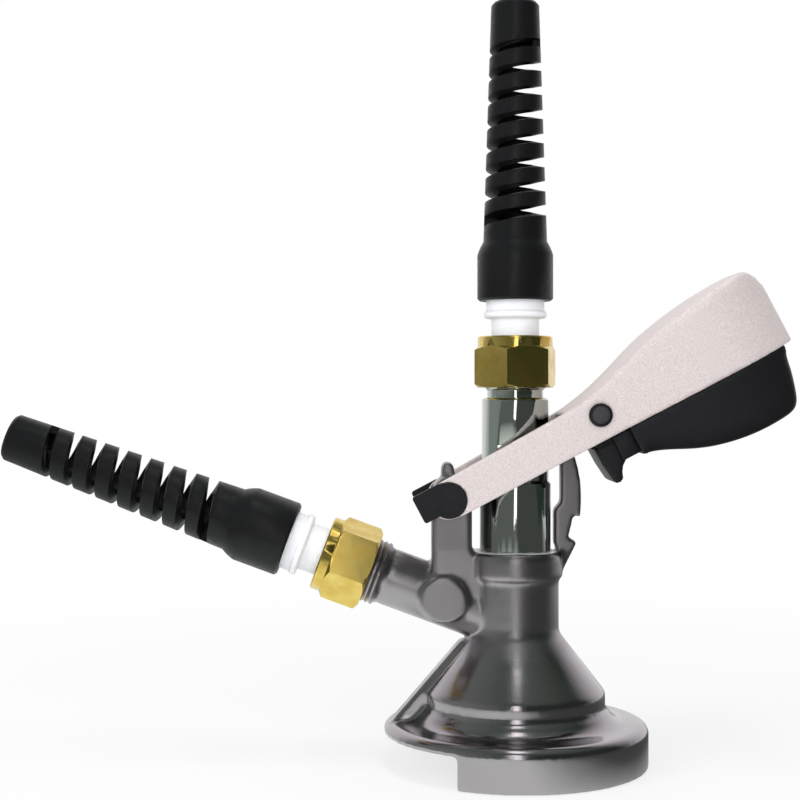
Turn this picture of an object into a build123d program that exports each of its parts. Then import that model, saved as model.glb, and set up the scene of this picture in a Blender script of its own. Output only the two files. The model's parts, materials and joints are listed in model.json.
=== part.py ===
"""Keg coupler for a flat-top keg valve: it slides under the keg's flange from the side.

A cast body carries a probe that a forked handle drives down through the keg valve.
Gas enters at a slanting arm, beer leaves at the top of the probe, and each line ends in
a union nut, a hose tail and a spiral bend protector.

Frame: +Z up along the probe, origin on the probe's axis where the keg's flange seats,
+X towards the handle's grip, -X towards the gas arm. Millimetres.
"""

import math
import os

from build123d import *

# ---------------------------------------------------------------- driving dimensions
# base that slides over the keg's flange
BASE_R = 48.0  # outside of the disc and of its hanging rim
DISC_T = 3.9
DISC_EDGE_CHAMFER = 2.0
RIM_DROP = 11.5  # rim below the flange's seat
LIP_T = 4.0  # inward lip that hooks under the flange
SLOT_HALF = 37.5  # half the width of the flange's slot
LIP_HALF = 33.0  # half the width between the lips
RIM_CUT_X = -23.0  # the rim stops here and leaves the mouth open
RIM_CUT_FLARE = 12.0  # degrees, so that the flange finds the mouth

# bell and neck
STEP_R = 39.5
BAND_R = 32.5
BAND_Z = 9.3
BAND_H = 5.5
NECK_R = 15.8
CONE_TOP_Z = 36.0
COLLAR_R = 17.2
COLLAR_Z = 56.5
BODY_TOP_Z = 65.9

# inside of the body
SEAL_SEAT_R = 20.0
SEAL_SEAT_H = 7.0
CHAMBER_R = 15.2
CHAMBER_TOP_Z = 31.0
RUN_CLEAR = 0.05  # radial clearance of a running fit
SEAT_GAP = 0.3  # gap where a part only rests against another
ANNULUS_R = 13.9  # gas space round the probe, above the chamber
ANNULUS_TOP_Z = 46.0
O_RING_R = 0.95  # section radius
O_RING_Z = (50.0, 58.3)
GUIDE_RING_R = 15.0
GUIDE_RING_Z = 61.1
GUIDE_RING_H = 4.4

# probe
PROBE_R = 12.9
PROBE_TUBE_R = 12.1
PROBE_BORE_R = 5.0
PROBE_STEM_R = 8.4
PROBE_STEM_BOTTOM_Z = 5.0
PROBE_SHOULDER_Z = 31.5
DRIVE_SLOT_H = 12.8  # the two milled slots that the drive pins sit in
DRIVE_SLOT_FLOOR_Y = 9.8
PROBE_TOP_SHOULDER_Z = 121.3
TIP_SEAL_R = 10.6
TIP_SEAL_H = 6.5

# union thread (5/8 in pipe) and nut
THREAD_R = 11.3
UNDERCUT_R = 10.2
THREAD_LENGTH = 11.0  # thread inside the nut
NUT_FLATS = 27.0
NUT_HEX_H = 14.9
NUT_SHOULDER_R = 13.6
NUT_SHOULDER_H = 3.7
NUT_END_WALL = 3.0
THREAD_CLEAR = 0.15

# hose tail and bend protector
TAIL_NECK_R = 8.7
TAIL_FLANGE_R = 10.6
TAIL_FLANGE_H = 3.0
TAIL_RING_R = 11.5
TAIL_RING_H = 2.5
TAIL_SOCKET_R = 10.6
TAIL_BORE_R = 4.2
TAIL_NECK_LENGTH = 6.7  # between the nut and the ring
TAIL_SOCKET_LENGTH = 9.0  # past the ring, most of it inside the protector
TAIL_BARB_R = 6.2
TAIL_BARB_STEPS = 3
TAIL_BARB_PITCH = 5.5
WASHER_T = 2.0

SLEEVE_LENGTH = 108.5
SLEEVE_BELL_R = 13.8
SLEEVE_BELL_H = 16.5
SLEEVE_ROOT_R = 11.6  # where the spiral part starts
SLEEVE_TIP_R = 8.75
SLEEVE_BELL_STEP = 5.0
SLEEVE_BORE_R = 6.4
SLEEVE_TIP_BORE_R = 6.0  # the plain ring at the tip holds the hose
SLEEVE_TIP_BORE_H = 13.0
SLEEVE_CAVITY_H = 27.0
SLEEVE_TAIL_OVERLAP = 5.2  # how far the protector is pushed over the tail's socket
SPIRAL_PITCH = 8.7
SPIRAL_TURNS = 7.5
SPIRAL_START = 28.8  # from the protector's open end
SPIRAL_INNER_W = 1.3
SPIRAL_OUTER_W = 4.6

# gas arm
GAS_TILT = 20.3  # degrees above the horizontal
GAS_AXIS_Z = 39.1  # where its axis meets the probe's axis
GAS_ARM_R = 10.4
GAS_ARM_LENGTH = 49.1  # along its own axis, from the probe's axis
GAS_UNDERCUT_LENGTH = 2.5
GAS_NUT_AT = 56.3
GAS_BORE_R = 4.5
GAS_VALVE_SEAT_R = 7.0
GAS_VALVE_SEAT_DEPTH = 9.0
BOSS_AT = 28.1  # blank boss for a relief valve, along the arm
BOSS_R = 8.5
BOSS_REACH = 11.4  # its flat face, from the arm's axis

# handle hinge, latch arc and drive
HINGE_X = -24.7
HINGE_Z = 84.9
HINGE_PIN_R = 3.0
HANDLE_TILT = 27.9  # the handle's rest angle above the horizontal
HANDLE_SWEEP = 42.0
EAR_HALF_Y = 9.5
BUSH_R = 4.6
BUSH_FLANGE_R = 6.6
DRIVE_ARM = 27.9  # hinge to drive pins
DRIVE_PIN_R = 5.8
DRIVE_SHANK_R = 3.0
ARC_R = 48.5
ARC_TIP_R = 49.5
ARC_NOTCH_R = 45.9
ARC_HALF_Y = 4.0
ARC_INNER_X = 16.3
ARC_FOOT_X = 13.9
ARC_TOP_ANGLE = 18.7
NOTCH_TOP_ANGLE = -8.0
NOTCH_BOTTOM_ANGLE = -18.6

# handle
ARM_INNER_Y = 14.0
ARM_T = 3.5
ARM_HALF_W = 7.0
ARM_LENGTH = 60.0
GRIP_END = 135.3
GRIP_HALF_Y = 21.0
GRIP_WALL = 2.2
INSERT_SET_BACK = 0.5  # the insert's sides stand this far inside the shell's outside
INSERT_SKIRT_V = 4.0  # the insert's skirt reaches this high inside the shell
CAP_T = 2.0
CAP_DISC_R = 6.4
CAP_TAIL = 11.2
CAP_TAIL_DROP = 3.4
GUIDE_U = ARC_R + 13.0
GUIDE_V = 1.7
GUIDE_HEAD_R = 4.2
GUIDE_PIN_R = 2.5

# trigger
TRIGGER_HALF_Y = 12.6
TRIGGER_FRONT_U = ARC_R + 7.0
TRIGGER_TOP_V = 5.3
TRIGGER_TAIL_HALF_Y = 7.0
CATCH_R = 3.0
CATCH_RIDE_GAP = 0.2
CATCH_V = 0.8
TRIGGER_IN = 2.4  # travel from riding on the arc into its notch
TRIGGER_OUT = 3.0  # travel when the trigger is pulled
CHEEK_INNER_Y = ARC_HALF_Y + 0.8
SPRING_WIRE_R = 0.55
SPRING_R = 3.6
SPRING_COILS = 6
SPRING_V = -8.0
SPRING_SEAT_U = 94.0

# ---------------------------------------------------------------- planes
HINGE = (HINGE_X, 0, HINGE_Z)
tilt = math.radians(HANDLE_TILT)
# local x along the arms, local y up from them, local z towards the near side (-Y)
ARM_PLANE = Plane(
    origin=HINGE,
    x_dir=(math.cos(tilt), 0, math.sin(tilt)),
    z_dir=(0, -1, 0),
)
FRONT = Plane.XZ  # local x = X, local y = Z, normal -Y
gas_tilt = math.radians(GAS_TILT)
GAS_PLANE = Plane(
    origin=(0, 0, GAS_AXIS_Z),
    x_dir=(math.sin(gas_tilt), 0, math.cos(gas_tilt)),
    z_dir=(-math.cos(gas_tilt), 0, math.sin(gas_tilt)),
)
GAS_NUT_PLANE = GAS_PLANE.offset(GAS_NUT_AT)
BEER_NUT_Z = 125.0
BEER_NUT_PLANE = Plane.XY.offset(BEER_NUT_Z)


def arm_point(u, v):
    """A point of the handle's side view, in the row frame's X and Z."""
    return (
        HINGE_X + u * math.cos(tilt) - v * math.sin(tilt),
        HINGE_Z + u * math.sin(tilt) + v * math.cos(tilt),
    )


def hinge_polar(radius, degrees):
    """X and Z at a radius and an angle above the horizontal, from the hinge."""
    a = math.radians(degrees)
    return (HINGE_X + radius * math.cos(a), HINGE_Z + radius * math.sin(a))


os.makedirs("parts", exist_ok=True)


# ---------------------------------------------------------------- body casting
GAS_NOSE_AT = GAS_NUT_AT + THREAD_LENGTH
BODY_BORE_R = PROBE_R + RUN_CLEAR

with BuildPart() as body:
    # bell, neck and collar
    with BuildSketch(FRONT):
        with BuildLine():
            Polyline(
                (0, 0),
                (BASE_R, 0),
                (BASE_R, DISC_T - DISC_EDGE_CHAMFER),
                (BASE_R - DISC_EDGE_CHAMFER, DISC_T),
                (STEP_R, DISC_T + 0.3),
            )
            RadiusArc(
                (STEP_R, DISC_T + 0.3), (BAND_R + 1.4, BAND_Z - 1.2), 7.0
            )
            Polyline(
                (BAND_R + 1.4, BAND_Z - 1.2),
                (BAND_R, BAND_Z),
                (BAND_R, BAND_Z + BAND_H),
                (BAND_R - 1.2, BAND_Z + BAND_H + 1.6),
                (NECK_R + 1.2, CONE_TOP_Z - 1.2),
            )
            RadiusArc(
                (NECK_R + 1.2, CONE_TOP_Z - 1.2), (NECK_R, CONE_TOP_Z + 2.2), 5.0
            )
            Polyline(
                (NECK_R, CONE_TOP_Z + 2.2),
                (NECK_R, COLLAR_Z - 1.2),
                (COLLAR_R, COLLAR_Z),
                (COLLAR_R, BODY_TOP_Z - 2.4),
            )
            RadiusArc(
                (COLLAR_R, BODY_TOP_Z - 2.4), (COLLAR_R - 2.4, BODY_TOP_Z), -2.4
            )
            Polyline((COLLAR_R - 2.4, BODY_TOP_Z), (0, BODY_TOP_Z), (0, 0))
        make_face()
    revolve(axis=Axis.Z)

    # hanging rim, open towards -X
    with BuildSketch(Plane.XY.offset(-RIM_DROP)):
        Circle(BASE_R)
    extrude(amount=RIM_DROP + 0.5)

    # gas arm, its threaded nose and the blank relief-valve boss
    with BuildSketch(GAS_PLANE):
        Circle(GAS_ARM_R)
    extrude(amount=GAS_ARM_LENGTH)
    with BuildSketch(GAS_PLANE.offset(GAS_ARM_LENGTH)):
        Circle(UNDERCUT_R)
    extrude(amount=GAS_UNDERCUT_LENGTH)
    with BuildSketch(GAS_PLANE.offset(GAS_ARM_LENGTH + GAS_UNDERCUT_LENGTH)):
        Circle(THREAD_R)
    extrude(amount=GAS_NOSE_AT - GAS_ARM_LENGTH - GAS_UNDERCUT_LENGTH)
    boss_x = -BOSS_AT * math.cos(gas_tilt)
    boss_z = GAS_AXIS_Z + BOSS_AT * math.sin(gas_tilt)
    with BuildSketch(Plane(origin=(boss_x, 0, boss_z), x_dir=(1, 0, 0), z_dir=(0, -1, 0))):
        Circle(BOSS_R)
    extrude(amount=BOSS_REACH)

    # hinge ear over the gas arm
    ear_left = HINGE_X - 5.8
    ear_right = HINGE_X + 8.6
    with BuildSketch(FRONT):
        with BuildLine():
            Polyline(
                (ear_left, HINGE_Z + 1.0),
                (ear_left, COLLAR_Z + 2.0),
                (ear_left + 6.0, CONE_TOP_Z + 12.0),
                (-NECK_R + 3.0, CONE_TOP_Z + 12.0),
                (-NECK_R + 3.0, COLLAR_Z + 3.0),
                (ear_right, BODY_TOP_Z + 1.5),
                (ear_right, HINGE_Z + 1.0),
            )
            ThreePointArc(
                (ear_right, HINGE_Z + 1.0),
                (HINGE_X + 1.4, HINGE_Z + 8.4),
                (ear_left, HINGE_Z + 1.0),
            )
        make_face()
    extrude(amount=EAR_HALF_Y, both=True)
    # rounded stop nose on the ear's top
    with BuildSketch(FRONT):
        with Locations((HINGE_X, HINGE_Z + 8.6)):
            SlotOverall(9.0, 4.6, rotation=90)
    extrude(amount=EAR_HALF_Y - 3.0, both=True)

    # latch arc on the grip side
    arc_top_out = hinge_polar(ARC_R, ARC_TOP_ANGLE + 0.8)
    arc_mid_out = hinge_polar(ARC_R, 5.0)
    notch_top_out = hinge_polar(ARC_R, NOTCH_TOP_ANGLE)
    notch_top_in = hinge_polar(ARC_NOTCH_R, NOTCH_TOP_ANGLE + 0.4)
    notch_mid_in = hinge_polar(ARC_NOTCH_R, (NOTCH_TOP_ANGLE + NOTCH_BOTTOM_ANGLE) / 2)
    notch_bottom_in = hinge_polar(ARC_NOTCH_R, NOTCH_BOTTOM_ANGLE + 0.4)
    notch_bottom_out = hinge_polar(ARC_TIP_R, NOTCH_BOTTOM_ANGLE)
    step_z = HINGE_Z - 4.0
    with BuildSketch(FRONT):
        with BuildLine():
            ThreePointArc(arc_top_out, arc_mid_out, notch_top_out)
            Line(notch_top_out, notch_top_in)
            ThreePointArc(notch_top_in, notch_mid_in, notch_bottom_in)
            Polyline(
                notch_bottom_in,
                notch_bottom_out,
                (NECK_R + 0.6, COLLAR_Z + 1.0),
                (ARC_FOOT_X, COLLAR_Z + 2.0),
                (ARC_FOOT_X, step_z),
                (ARC_INNER_X, step_z + 2.6),
                (ARC_INNER_X, hinge_polar(ARC_NOTCH_R, ARC_TOP_ANGLE)[1] - 1.4),
                arc_top_out,
            )
        make_face()
    extrude(amount=ARC_HALF_Y, both=True)

    # rib from the gas arm's root down to the disc's edge
    with BuildSketch(FRONT):
        Polygon(
            (-BASE_R + 2.6, DISC_T),
            (-20.0, DISC_T + 29.5),
            (-10.0, DISC_T + 29.5),
            (-10.0, 1.0),
            (-BASE_R + 2.6, 1.0),
            align=None,
        )
    extrude(amount=4.5, both=True)

    # flange slot: a stadium that runs out at the mouth
    with BuildSketch(Plane.XY.offset(-RIM_DROP)):
        Circle(LIP_HALF)
        with Locations((-BASE_R, 0)):
            Rectangle(2 * BASE_R, 2 * LIP_HALF)
    extrude(amount=RIM_DROP, mode=Mode.SUBTRACT)
    with BuildSketch(Plane.XY.offset(-RIM_DROP + LIP_T)):
        Circle(SLOT_HALF)
        with Locations((-BASE_R, 0)):
            Rectangle(2 * BASE_R, 2 * SLOT_HALF)
    extrude(amount=RIM_DROP - LIP_T, mode=Mode.SUBTRACT)
    # the rim's two ends, flared to lead the flange in
    for side in (1, -1):
        flare = math.tan(math.radians(RIM_CUT_FLARE))
        cut_outer_y = math.sqrt(BASE_R**2 - RIM_CUT_X**2)
        with BuildSketch(Plane.XY.offset(-RIM_DROP)):
            Polygon(
                (RIM_CUT_X - 2 * flare, side * (cut_outer_y + 2.0)),
                (RIM_CUT_X + (cut_outer_y - 20.0) * flare, side * 20.0),
                (-2 * BASE_R, side * 20.0),
                (-2 * BASE_R, side * (cut_outer_y + 2.0)),
                align=None,
            )
        extrude(amount=RIM_DROP, mode=Mode.SUBTRACT)

    # seal seat, gas chamber, gas annulus, probe bore, ring grooves and guide ring's seat
    with BuildSketch(Plane.XY):
        Circle(SEAL_SEAT_R)
    extrude(amount=SEAL_SEAT_H, mode=Mode.SUBTRACT)
    with BuildSketch(FRONT):
        Polygon(
            (0, SEAL_SEAT_H - 0.1),
            (CHAMBER_R, SEAL_SEAT_H - 0.1),
            (CHAMBER_R, CHAMBER_TOP_Z),
            (ANNULUS_R, CHAMBER_TOP_Z + CHAMBER_R - ANNULUS_R),
            (ANNULUS_R, ANNULUS_TOP_Z),
            (BODY_BORE_R, ANNULUS_TOP_Z + ANNULUS_R - BODY_BORE_R),
            (BODY_BORE_R, GUIDE_RING_Z),
            (GUIDE_RING_R, GUIDE_RING_Z),
            (GUIDE_RING_R, BODY_TOP_Z + 2.0),
            (0, BODY_TOP_Z + 2.0),
            align=None,
        )
        with Locations(*[(BODY_BORE_R, z) for z in O_RING_Z]):
            Rectangle(4 * O_RING_R, 2.6 * O_RING_R)
    revolve(axis=Axis.Z, mode=Mode.SUBTRACT)

    # gas way: bore, and the check valve's seat in the nose
    with BuildSketch(GAS_PLANE.offset(2.0)):
        Circle(GAS_BORE_R)
    extrude(amount=GAS_NOSE_AT, mode=Mode.SUBTRACT)
    with BuildSketch(GAS_PLANE.offset(GAS_NOSE_AT - GAS_VALVE_SEAT_DEPTH)):
        Circle(GAS_VALVE_SEAT_R)
    extrude(amount=GAS_VALVE_SEAT_DEPTH + 1.0, mode=Mode.SUBTRACT)

    # hinge bore through the ear, for the bushes
    with BuildSketch(Plane(origin=HINGE, x_dir=(1, 0, 0), z_dir=(0, -1, 0))):
        Circle(BUSH_R)
    extrude(amount=2 * EAR_HALF_Y, both=True, mode=Mode.SUBTRACT)

body.part.label = "body"
export_step(body.part, "parts/body.step")

# ---------------------------------------------------------------- seals in the body
with BuildPart() as keg_seal:
    with BuildSketch(FRONT):
        with BuildLine():
            Polyline(
                (SEAL_SEAT_R, 0.2),
                (SEAL_SEAT_R, SEAL_SEAT_H),
                (CHAMBER_R - 0.6, SEAL_SEAT_H),
                (CHAMBER_R - 1.4, 1.2),
                (CHAMBER_R - 0.2, -1.2),
                (CHAMBER_R + 1.6, -1.2),
                (CHAMBER_R + 2.4, 0.2),
                (SEAL_SEAT_R, 0.2),
            )
        make_face()
    revolve(axis=Axis.Z)
keg_seal.part.label = "keg_seal"
export_step(keg_seal.part, "parts/keg_seal.step")


with BuildPart() as neck_o_rings:
    with BuildSketch(FRONT):
        with Locations(*[(BODY_BORE_R + O_RING_R, z) for z in O_RING_Z]):
            Circle(O_RING_R)
    revolve(axis=Axis.Z)
neck_o_rings.part.label = "neck_o_rings"
export_step(neck_o_rings.part, "parts/neck_o_rings.step")

# plastic guide ring pressed into the collar's mouth
with BuildPart() as guide_ring:
    with BuildSketch(Plane.XY.offset(GUIDE_RING_Z)):
        Circle(GUIDE_RING_R)
        Circle(PROBE_R + 1.5 * RUN_CLEAR, mode=Mode.SUBTRACT)
    extrude(amount=GUIDE_RING_H)
    chamfer(guide_ring.edges().filter_by(GeomType.CIRCLE).group_by(Axis.Z)[-1].sort_by(SortBy.RADIUS)[0], 0.6)
guide_ring.part.label = "guide_ring"
export_step(guide_ring.part, "parts/guide_ring.step")

# ---------------------------------------------------------------- probe
PROBE_THREAD_TOP_Z = BEER_NUT_Z + THREAD_LENGTH
DRIVE_Z = arm_point(DRIVE_ARM, 0)[1]
drive_slot_top = DRIVE_Z + DRIVE_SLOT_H / 2
with BuildPart() as probe:
    with BuildSketch(FRONT):
        Polygon(
            (PROBE_BORE_R, PROBE_STEM_BOTTOM_Z),
            (PROBE_STEM_R - 1.0, PROBE_STEM_BOTTOM_Z),
            (PROBE_STEM_R, PROBE_STEM_BOTTOM_Z + 1.0),
            (PROBE_STEM_R, PROBE_SHOULDER_Z - 3.0),
            (PROBE_R - 0.8, PROBE_SHOULDER_Z),
            (PROBE_R, PROBE_SHOULDER_Z + 0.8),
            (PROBE_R, drive_slot_top - DRIVE_SLOT_H - 1.2),
            (PROBE_R - 0.8, drive_slot_top - DRIVE_SLOT_H),
            (PROBE_TUBE_R, drive_slot_top - DRIVE_SLOT_H),
            (PROBE_TUBE_R, PROBE_TOP_SHOULDER_Z - 0.8),
            (PROBE_TUBE_R - 0.8, PROBE_TOP_SHOULDER_Z),
            (UNDERCUT_R, PROBE_TOP_SHOULDER_Z),
            (UNDERCUT_R, BEER_NUT_Z - 1.0),
            (THREAD_R, BEER_NUT_Z + 0.1),
            (THREAD_R, PROBE_THREAD_TOP_Z - 0.6),
            (THREAD_R - 0.6, PROBE_THREAD_TOP_Z),
            (PROBE_BORE_R, PROBE_THREAD_TOP_Z),
            align=None,
        )
    revolve(axis=Axis.Z)
    # two slots milled across, front and back, for the drive pins
    for side in (1, -1):
        with BuildSketch(FRONT.offset(side * DRIVE_SLOT_FLOOR_Y)):
            with Locations((0, DRIVE_Z)):
                Rectangle(2 * PROBE_R + 1, DRIVE_SLOT_H)
        extrude(amount=side * PROBE_R, mode=Mode.SUBTRACT)
probe.part.label = "probe"
export_step(probe.part, "parts/probe.step")

with BuildPart() as probe_tip_seal:
    with BuildSketch(FRONT):
        seal_bottom = PROBE_STEM_BOTTOM_Z - 2.5
        with BuildLine():
            Polyline(
                (PROBE_BORE_R, seal_bottom + 0.8),
                (PROBE_BORE_R + 1.6, seal_bottom),
                (TIP_SEAL_R - 1.6, seal_bottom),
                (TIP_SEAL_R, seal_bottom + 2.4),
                (TIP_SEAL_R, seal_bottom + TIP_SEAL_H - 1.0),
                (TIP_SEAL_R - 1.0, seal_bottom + TIP_SEAL_H),
                (PROBE_STEM_R, seal_bottom + TIP_SEAL_H),
                (PROBE_STEM_R, PROBE_STEM_BOTTOM_Z + 1.0),
                (PROBE_STEM_R - 1.0, PROBE_STEM_BOTTOM_Z),
                (PROBE_BORE_R, PROBE_STEM_BOTTOM_Z),
                (PROBE_BORE_R, seal_bottom + 0.8),
            )
        make_face()
    revolve(axis=Axis.Z)
probe_tip_seal.part.label = "probe_tip_seal"
export_step(probe_tip_seal.part, "parts/probe_tip_seal.step")


# ---------------------------------------------------------------- hose connections
def union_nut():
    """Hexagon union nut: open below over the thread, end wall round the hose tail."""
    with BuildPart() as nut:
        with BuildSketch():
            RegularPolygon(NUT_FLATS / 2, 6, major_radius=False, rotation=15)
        extrude(amount=NUT_HEX_H)
        # both ends of the hexagon turned to a 30 degree chamfer
        corner_r = NUT_FLATS / math.sqrt(3)
        drop = (corner_r - NUT_FLATS / 2) * math.tan(math.radians(30)) * 1.15
        with BuildSketch(FRONT):
            Polygon(
                (0, 0),
                (NUT_FLATS / 2 + 0.1, 0),
                (corner_r + 0.1, drop),
                (corner_r + 0.1, NUT_HEX_H - drop),
                (NUT_FLATS / 2 + 0.1, NUT_HEX_H),
                (0, NUT_HEX_H),
                align=None,
            )
        revolve(axis=Axis.Z, mode=Mode.INTERSECT)
        with BuildSketch(Plane.XY.offset(NUT_HEX_H)):
            Circle(NUT_SHOULDER_R)
        extrude(amount=NUT_SHOULDER_H)
        chamfer(nut.faces().sort_by(Axis.Z)[-1].edges(), 0.5)
        with BuildSketch():
            Circle(THREAD_R + THREAD_CLEAR)
        extrude(amount=NUT_HEX_H + NUT_SHOULDER_H - NUT_END_WALL, mode=Mode.SUBTRACT)
        with BuildSketch():
            Circle(TAIL_NECK_R + THREAD_CLEAR)
        extrude(amount=NUT_HEX_H + NUT_SHOULDER_H + 1, mode=Mode.SUBTRACT)
    return nut.part


NUT_H = NUT_HEX_H + NUT_SHOULDER_H
TAIL_FLANGE_TOP = NUT_H - NUT_END_WALL
TAIL_FLANGE_BOTTOM = THREAD_LENGTH + WASHER_T
TAIL_RING_AT = NUT_H + TAIL_NECK_LENGTH
TAIL_SOCKET_TOP = TAIL_RING_AT + TAIL_RING_H + TAIL_SOCKET_LENGTH
SLEEVE_AT = TAIL_SOCKET_TOP - SLEEVE_TAIL_OVERLAP


def tail_washer():
    """Flat washer between the threaded nose and the hose tail's flange."""
    with BuildPart() as washer:
        with BuildSketch(Plane.XY.offset(THREAD_LENGTH)):
            Circle(TAIL_FLANGE_R)
            Circle(TAIL_BORE_R, mode=Mode.SUBTRACT)
        extrude(amount=WASHER_T)
    return washer.part


def hose_tail():
    """Moulded tail: flange in the nut, neck, ring, socket for the protector and barbs."""
    with BuildPart() as tail:
        ring_mid = TAIL_RING_AT + TAIL_RING_H / 2
        with BuildSketch(FRONT):
            with BuildLine():
                Polyline(
                    (TAIL_BORE_R, TAIL_FLANGE_BOTTOM),
                    (TAIL_FLANGE_R, TAIL_FLANGE_BOTTOM),
                    (TAIL_FLANGE_R, TAIL_FLANGE_TOP),
                    (TAIL_NECK_R, TAIL_FLANGE_TOP),
                    (TAIL_NECK_R, TAIL_RING_AT - 0.6),
                    (TAIL_NECK_R + 0.6, TAIL_RING_AT),
                    (TAIL_RING_R - 0.8, TAIL_RING_AT),
                )
                ThreePointArc(
                    (TAIL_RING_R - 0.8, TAIL_RING_AT),
                    (TAIL_RING_R, ring_mid),
                    (TAIL_RING_R - 0.8, TAIL_RING_AT + TAIL_RING_H),
                )
                barb_points = []
                for i in range(TAIL_BARB_STEPS):
                    z = TAIL_SOCKET_TOP + i * TAIL_BARB_PITCH
                    barb_points += [
                        (TAIL_BARB_R, z),
                        (TAIL_BARB_R - 1.1, z + TAIL_BARB_PITCH),
                    ]
                barb_end = TAIL_SOCKET_TOP + TAIL_BARB_STEPS * TAIL_BARB_PITCH
                Polyline(
                    (TAIL_RING_R - 0.8, TAIL_RING_AT + TAIL_RING_H),
                    (TAIL_SOCKET_R, TAIL_RING_AT + TAIL_RING_H + 0.5),
                    (TAIL_SOCKET_R, TAIL_SOCKET_TOP),
                    *barb_points,
                    (TAIL_BORE_R, barb_end),
                    (TAIL_BORE_R, TAIL_FLANGE_BOTTOM),
                )
            make_face()
        revolve(axis=Axis.Z)
    return tail.part


def bend_protector():
    """Rubber sleeve whose wall is cut by one spiral slot, so that it bends like a spring."""
    base = SLEEVE_AT
    tip = base + SLEEVE_LENGTH
    taper_start = base + SLEEVE_BELL_H + SLEEVE_BELL_STEP
    with BuildPart() as cutter:
        slot_start = base + SPIRAL_START
        mid_r = (SLEEVE_ROOT_R + SLEEVE_TIP_R) / 2
        with BuildLine() as path:
            spiral = Helix(
                pitch=SPIRAL_PITCH,
                height=SPIRAL_PITCH * SPIRAL_TURNS,
                radius=mid_r,
                center=(0, 0, slot_start),
            )
        start_plane = Plane(origin=spiral @ 0, x_dir=(1, 0, 0), z_dir=spiral % 0)
        inner = SLEEVE_BORE_R - 1.5 - mid_r
        outer = SLEEVE_ROOT_R + 1.5 - mid_r
        with BuildSketch(start_plane):
            Polygon(
                (inner, -SPIRAL_INNER_W / 2),
                (inner, SPIRAL_INNER_W / 2),
                (outer, SPIRAL_OUTER_W / 2),
                (outer, -SPIRAL_OUTER_W / 2),
                align=None,
            )
        sweep(path=path.line, is_frenet=True)
    with BuildPart() as sleeve:
        with BuildSketch(FRONT):
            with BuildLine():
                Polyline(
                    (TAIL_SOCKET_R, base),
                    (SLEEVE_BELL_R - 0.8, base),
                    (SLEEVE_BELL_R, base + 0.8),
                    (SLEEVE_BELL_R, base + SLEEVE_BELL_H),
                )
                ThreePointArc(
                    (SLEEVE_BELL_R, base + SLEEVE_BELL_H),
                    (
                        (SLEEVE_BELL_R + SLEEVE_ROOT_R) / 2 + 0.25,
                        base + SLEEVE_BELL_H + SLEEVE_BELL_STEP / 2,
                    ),
                    (SLEEVE_ROOT_R, taper_start),
                )
                Polyline(
                    (SLEEVE_ROOT_R, taper_start),
                    (SLEEVE_TIP_R, tip - 1.2),
                    (SLEEVE_TIP_R - 1.0, tip),
                    (SLEEVE_TIP_BORE_R, tip),
                    (SLEEVE_TIP_BORE_R, tip - SLEEVE_TIP_BORE_H),
                    (SLEEVE_BORE_R, tip - SLEEVE_TIP_BORE_H),
                    (SLEEVE_BORE_R, base + SLEEVE_CAVITY_H - 1.0),
                    (TAIL_BARB_R + 2.4, base + SLEEVE_CAVITY_H - 4.0),
                    (TAIL_BARB_R + 2.4, TAIL_SOCKET_TOP + 0.4),
                    (TAIL_SOCKET_R, TAIL_SOCKET_TOP + 0.4),
                    (TAIL_SOCKET_R, base),
                )
            make_face()
        revolve(axis=Axis.Z)
        with Locations(Location((0, 0, 0), (0, 0, 180))):
            add(cutter.part, mode=Mode.SUBTRACT)
    return sleeve.part


connection = {
    "nut": union_nut(),
    "tail_washer": tail_washer(),
    "hose_tail": hose_tail(),
    "bend_protector": bend_protector(),
}
for line, plane in (("gas", GAS_NUT_PLANE), ("beer", BEER_NUT_PLANE)):
    for piece, shape in connection.items():
        placed = shape.moved(plane.location)
        placed.label = f"{line}_{piece}"
        export_step(placed, f"parts/{placed.label}.step")

# duckbill check valve in the gas arm's nose
with BuildPart() as duckbill:
    seat_bottom = GAS_NOSE_AT - GAS_VALVE_SEAT_DEPTH
    with BuildSketch(GAS_PLANE.offset(GAS_NOSE_AT - 2.0)):
        Circle(GAS_VALVE_SEAT_R)
    extrude(amount=2.0)
    with BuildSketch(GAS_PLANE.offset(GAS_NOSE_AT - 2.0)):
        Circle(5.0)
    with BuildSketch(GAS_PLANE.offset(seat_bottom + 0.6)):
        Rectangle(2.0, 8.0)
    loft()
    with BuildSketch(GAS_PLANE.offset(GAS_NOSE_AT)):
        Circle(3.4)
    with BuildSketch(GAS_PLANE.offset(seat_bottom + 2.4)):
        Rectangle(0.5, 5.6)
    loft(mode=Mode.SUBTRACT)
    with BuildSketch(GAS_PLANE.offset(seat_bottom)):
        Rectangle(0.5, 5.6)
    extrude(amount=3.0, mode=Mode.SUBTRACT)
duckbill.part.label = "gas_check_valve"
export_step(duckbill.part, "parts/gas_check_valve.step")

# ---------------------------------------------------------------- hinge
HINGE_PLANE = Plane(origin=HINGE, x_dir=(1, 0, 0), z_dir=(0, -1, 0))
ARM_OUTER_Y = ARM_INNER_Y + ARM_T

with BuildPart() as hinge_bushes:
    for side in (1, -1):
        with BuildSketch(HINGE_PLANE.offset(side * 1.0)):
            Circle(BUSH_R)
        extrude(amount=side * (EAR_HALF_Y - 1.0))
        with BuildSketch(HINGE_PLANE.offset(side * EAR_HALF_Y)):
            Circle(BUSH_FLANGE_R)
        extrude(amount=side * (ARM_INNER_Y - EAR_HALF_Y - SEAT_GAP))
    with BuildSketch(HINGE_PLANE):
        Circle(HINGE_PIN_R + RUN_CLEAR)
    extrude(amount=2 * EAR_HALF_Y, both=True, mode=Mode.SUBTRACT)
hinge_bushes.part.label = "hinge_bushes"
export_step(hinge_bushes.part, "parts/hinge_bushes.step")

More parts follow.
